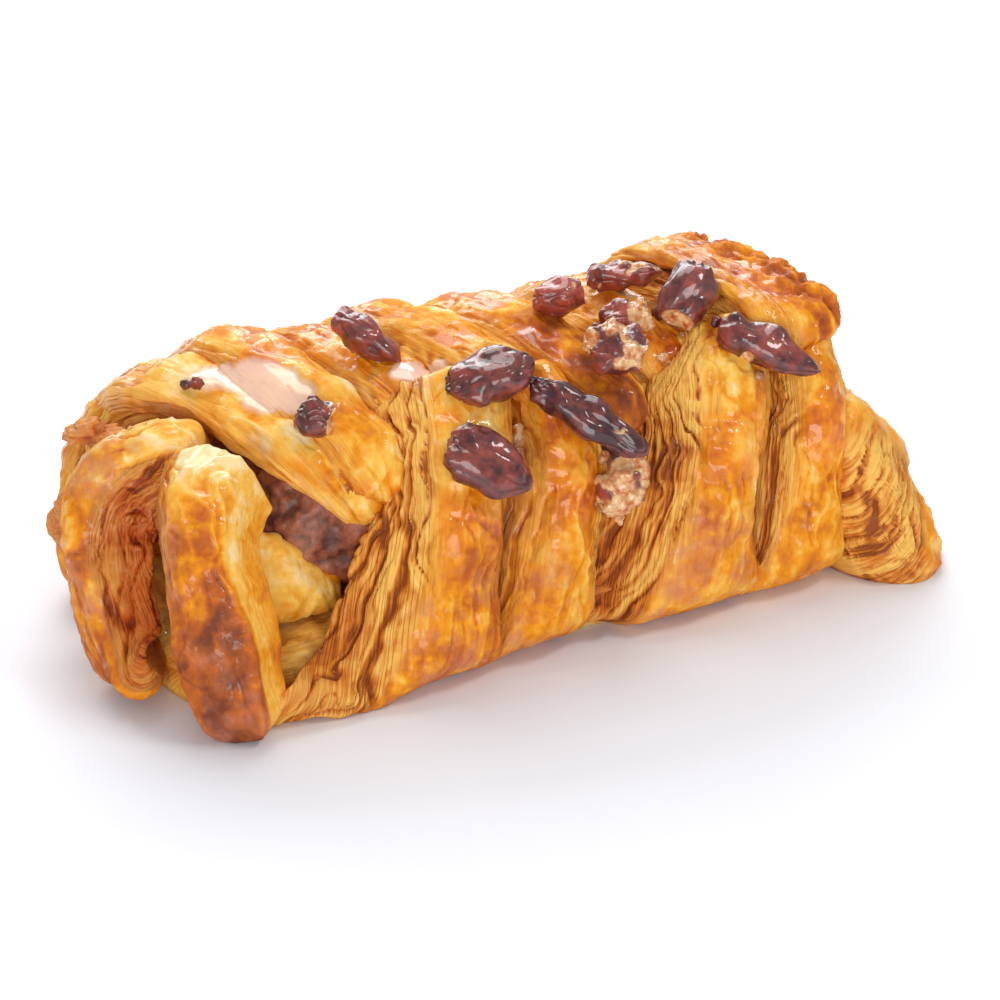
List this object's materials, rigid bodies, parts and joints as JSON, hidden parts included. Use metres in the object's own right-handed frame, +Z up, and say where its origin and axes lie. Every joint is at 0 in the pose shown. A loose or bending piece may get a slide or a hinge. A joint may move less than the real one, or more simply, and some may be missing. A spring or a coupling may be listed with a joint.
{
  "type": "pecan plait danish pastry",
  "caption": "braided puff pastry with strips of laminated dough folded over a log of nut filling, glazed on top and scattered with pecan pieces",
  "frame": {"origin": "centre of the plan box, on the table under the flat base", "axes": "X along the plait with the open end at -X, Y across it with the shown side at -Y, Z up"},
  "size_m": [0.1534, 0.077, 0.0557],
  "materials": {
    "crust": "baked golden crust under a thin clear glaze",
    "filling": "moist granular nut paste",
    "pecan": "glazed nut skin with broken pale faces"
  },
  "bodies": {
    "root": {"dough": "crust", "filling": "filling", "pecan_1": "pecan", "pecan_2": "pecan", "pecan_3": "pecan", "pecan_4": "pecan", "pecan_5": "pecan", "pecan_6": "pecan", "pecan_7": "pecan", "pecan_8": "pecan", "pecan_9": "pecan", "pecan_10": "pecan", "pecan_11": "pecan", "pecan_12": "pecan"}
  },
  "joints": []
}
